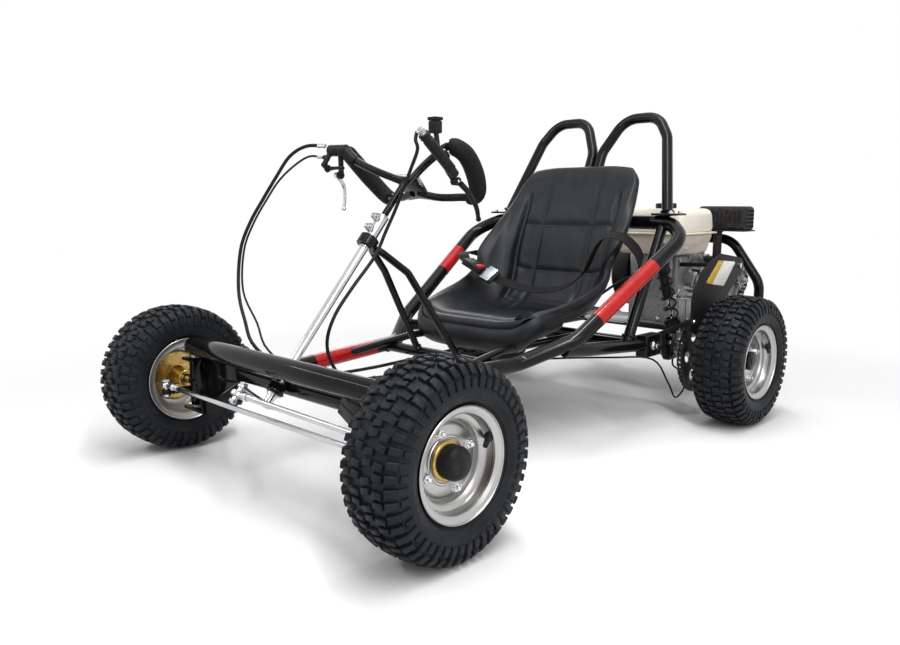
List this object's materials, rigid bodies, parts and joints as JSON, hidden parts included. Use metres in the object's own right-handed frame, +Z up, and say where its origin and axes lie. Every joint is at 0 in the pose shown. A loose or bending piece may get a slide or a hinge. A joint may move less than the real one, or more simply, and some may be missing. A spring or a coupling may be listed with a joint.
{
  "type": "off-road go-kart",
  "caption": "Off-road go-kart: tube frame on knobby tyres, bucket seat, butterfly steering bar, sprung swing arm carrying a petrol engine with chain drive.",
  "frame": {"origin": "on the ground, at the middle of the whole length and width", "axes": "+Y to the rear of the kart, +X to its left side, +Z up"},
  "size_m": [0.985, 1.65, 0.8038],
  "materials": {
    "black_coat": "gloss black powder coat on steel",
    "bright_zinc": "bright zinc plated steel",
    "yellow_zinc": "yellow zinc plated steel",
    "steel_rim": "pressed steel with a bright plated finish",
    "tyre_rubber": "matt black moulded rubber",
    "foam": "closed cell foam",
    "dark_plastic": "moulded, or painted, satin black",
    "vinyl": "black vinyl with a soft sheen",
    "webbing": "woven polyester webbing",
    "cast_alloy": "as cast",
    "tank_cream": "gloss cream paint on pressed steel",
    "hose_rubber": "smooth black sheath",
    "button_red": "moulded red plastic"
  },
  "bodies": {
    "frame": {"main_loop": "black_coat", "front_axle": "black_coat", "front_bow": "black_coat", "front_cross_tube": "black_coat", "column_brace": "black_coat", "seat_rail": "black_coat", "rear_truss": "black_coat", "roll_hoop_left": "black_coat", "roll_hoop_right": "black_coat", "seat": "vinyl", "belt_left": "webbing", "belt_right": "webbing", "buckle": "dark_plastic", "brake_hose": "hose_rubber", "throttle_cable": "hose_rubber", "brake_cable": "hose_rubber"},
    "buckle_button": {"buckle_button": "button_red"},
    "steering": {"steering_shaft": "bright_zinc", "handlebar": "black_coat", "grip_left": "foam", "grip_right": "foam", "master_cylinder": "dark_plastic", "lever_perch": "dark_plastic"},
    "brake_lever": {"brake_lever": "dark_plastic"},
    "hand_lever": {"hand_lever": "bright_zinc"},
    "thumb_lever": {"thumb_lever": "dark_plastic"},
    "knuckle_left": {"knuckle_left": "black_coat"},
    "knuckle_right": {"knuckle_right": "black_coat"},
    "track_rod": {"track_rod": "bright_zinc"},
    "drag_link": {"drag_link": "bright_zinc"},
    "front_wheel_left": {"front_tyre_left": "tyre_rubber", "front_rim_left": "steel_rim", "front_hub_left": "yellow_zinc"},
    "front_wheel_right": {"front_tyre_right": "tyre_rubber", "front_rim_right": "steel_rim", "front_hub_right": "yellow_zinc"},
    "swing_arm": {"swing_arm": "black_coat", "rear_hoop": "black_coat", "drive_chain": "cast_alloy", "chain_guard": "black_coat", "engine_block": "cast_alloy", "recoil_cover": "dark_plastic", "fuel_tank": "tank_cream", "muffler": "dark_plastic"},
    "rear_axle": {"rear_axle": "bright_zinc", "axle_sprocket": "black_coat", "rear_tyre_left": "tyre_rubber", "rear_tyre_right": "tyre_rubber", "rear_rim_left": "steel_rim", "rear_rim_right": "steel_rim"},
    "clutch": {"clutch_drum": "cast_alloy"},
    "fuel_cap": {"fuel_cap": "dark_plastic"},
    "starter_handle": {"starter_handle": "dark_plastic"},
    "shock_body_left": {"shock_body_left": "dark_plastic", "shock_spring_left": "black_coat"},
    "shock_body_right": {"shock_body_right": "dark_plastic", "shock_spring_right": "black_coat"},
    "shock_rod_left": {"shock_rod_left": "bright_zinc"},
    "shock_rod_right": {"shock_rod_right": "bright_zinc"}
  },
  "joints": [
    {"name": "steering_turn", "type": "hinge", "parent": "frame", "child": "steering", "pos_m": [0, -0.6981, 0.1802], "axis": [0, 0.65, 0.76], "range_deg": [-22, 22], "deforming": ["brake_hose", "throttle_cable", "brake_cable"]},
    {"name": "knuckle_left_steer", "type": "hinge", "parent": "frame", "child": "knuckle_left", "pos_m": [0.345, -0.6595, 0.165], "axis": [0, 0, 1], "range_deg": [-22, 22]},
    {"name": "knuckle_right_steer", "type": "hinge", "parent": "frame", "child": "knuckle_right", "pos_m": [-0.345, -0.6595, 0.165], "axis": [0, 0, 1], "range_deg": [-22, 22]},
    {"name": "track_rod_swing", "type": "hinge", "parent": "knuckle_left", "child": "track_rod", "pos_m": [0.357, -0.7255, 0.165], "axis": [0, 0, 1], "range_deg": [-22, 22]},
    {"name": "drag_link_swing", "type": "hinge", "parent": "knuckle_left", "child": "drag_link", "pos_m": [0.357, -0.7255, 0.19], "axis": [0, 0, 1], "range_deg": [-22, 22]},
    {"name": "front_wheel_left_spin", "type": "hinge", "parent": "knuckle_left", "child": "front_wheel_left", "pos_m": [0.4325, -0.6595, 0.165], "axis": [1, 0, 0], "continuous": true},
    {"name": "front_wheel_right_spin", "type": "hinge", "parent": "knuckle_right", "child": "front_wheel_right", "pos_m": [-0.4325, -0.6595, 0.165], "axis": [1, 0, 0], "continuous": true},
    {"name": "brake_lever_squeeze", "type": "hinge", "parent": "steering", "child": "brake_lever", "pos_m": [0.176, -0.35256, 0.60576], "axis": [1, 0, 0], "range_deg": [0, 10], "stiffness_Nm_per_rad": 1, "springref_deg": -8.59},
    {"name": "hand_lever_squeeze", "type": "hinge", "parent": "steering", "child": "hand_lever", "pos_m": [-0.176, -0.37818, 0.62504], "axis": [1, 0, 0], "range_deg": [0, 12], "stiffness_Nm_per_rad": 1, "springref_deg": -8.59},
    {"name": "thumb_throttle", "type": "hinge", "parent": "steering", "child": "thumb_lever", "pos_m": [-0.19, -0.39489, 0.63934], "axis": [0, 0.76, -0.65], "range_deg": [0, 30], "stiffness_Nm_per_rad": 0.15, "springref_deg": -17.19},
    {"name": "buckle_release", "type": "slide", "parent": "frame", "child": "buckle_button", "axis": [-0.3746, 0, -0.9272], "range_m": [0, 0.0015], "stiffness_N_per_m": 600, "springref_m": -0.002},
    {"name": "swing_pivot", "type": "hinge", "parent": "frame", "child": "swing_arm", "pos_m": [0, 0.2385, 0.21], "axis": [1, 0, 0], "range_deg": [0, 12], "stiffness_Nm_per_rad": 1500, "springref_deg": -11.46},
    {"name": "rear_axle_spin", "type": "hinge", "parent": "swing_arm", "child": "rear_axle", "pos_m": [0, 0.4365, 0.165], "axis": [1, 0, 0], "continuous": true},
    {"name": "clutch_spin", "type": "hinge", "parent": "swing_arm", "child": "clutch", "pos_m": [0.31, 0.6785, 0.345], "axis": [1, 0, 0], "continuous": true},
    {"name": "fuel_cap_turn", "type": "hinge", "parent": "swing_arm", "child": "fuel_cap", "pos_m": [0.105, 0.6035, 0.5463], "axis": [0, 0, 1], "range_deg": [0, 90]},
    {"name": "starter_pull", "type": "slide", "parent": "swing_arm", "child": "starter_handle", "axis": [0, -0.5151, 0.8571], "range_m": [0, 0.3], "stiffness_N_per_m": 12, "springref_m": -0.5},
    {"name": "shock_top_left_swing", "type": "hinge", "parent": "frame", "child": "shock_body_left", "pos_m": [0.25, 0.3205, 0.432], "axis": [1, 0, 0], "range_deg": [0, 2.6]},
    {"name": "shock_slide_left", "type": "slide", "parent": "shock_body_left", "child": "shock_rod_left", "axis": [0, -0.4045, 0.9145], "range_m": [0, 0.0365], "deforming": ["shock_spring_left"]},
    {"name": "shock_top_right_swing", "type": "hinge", "parent": "frame", "child": "shock_body_right", "pos_m": [-0.25, 0.3205, 0.432], "axis": [1, 0, 0], "range_deg": [0, 2.6]},
    {"name": "shock_slide_right", "type": "slide", "parent": "shock_body_right", "child": "shock_rod_right", "axis": [0, -0.4045, 0.9145], "range_m": [0, 0.0365], "deforming": ["shock_spring_right"]}
  ],
  "couplings": [
    {"joint": "knuckle_left_steer", "follows": "steering_turn", "ratio": 1},
    {"joint": "knuckle_right_steer", "follows": "steering_turn", "ratio": 1},
    {"joint": "track_rod_swing", "follows": "steering_turn", "ratio": -0.9664},
    {"joint": "drag_link_swing", "follows": "steering_turn", "ratio": -0.9664},
    {"joint": "clutch_spin", "follows": "rear_axle_spin", "ratio": 4},
    {"joint": "shock_top_left_swing", "follows": "swing_pivot", "ratio": 0.208},
    {"joint": "shock_slide_left", "follows": "swing_pivot", "m_per_rad": 0.1687},
    {"joint": "shock_top_right_swing", "follows": "swing_pivot", "ratio": 0.208},
    {"joint": "shock_slide_right", "follows": "swing_pivot", "m_per_rad": 0.1687}
  ]
}
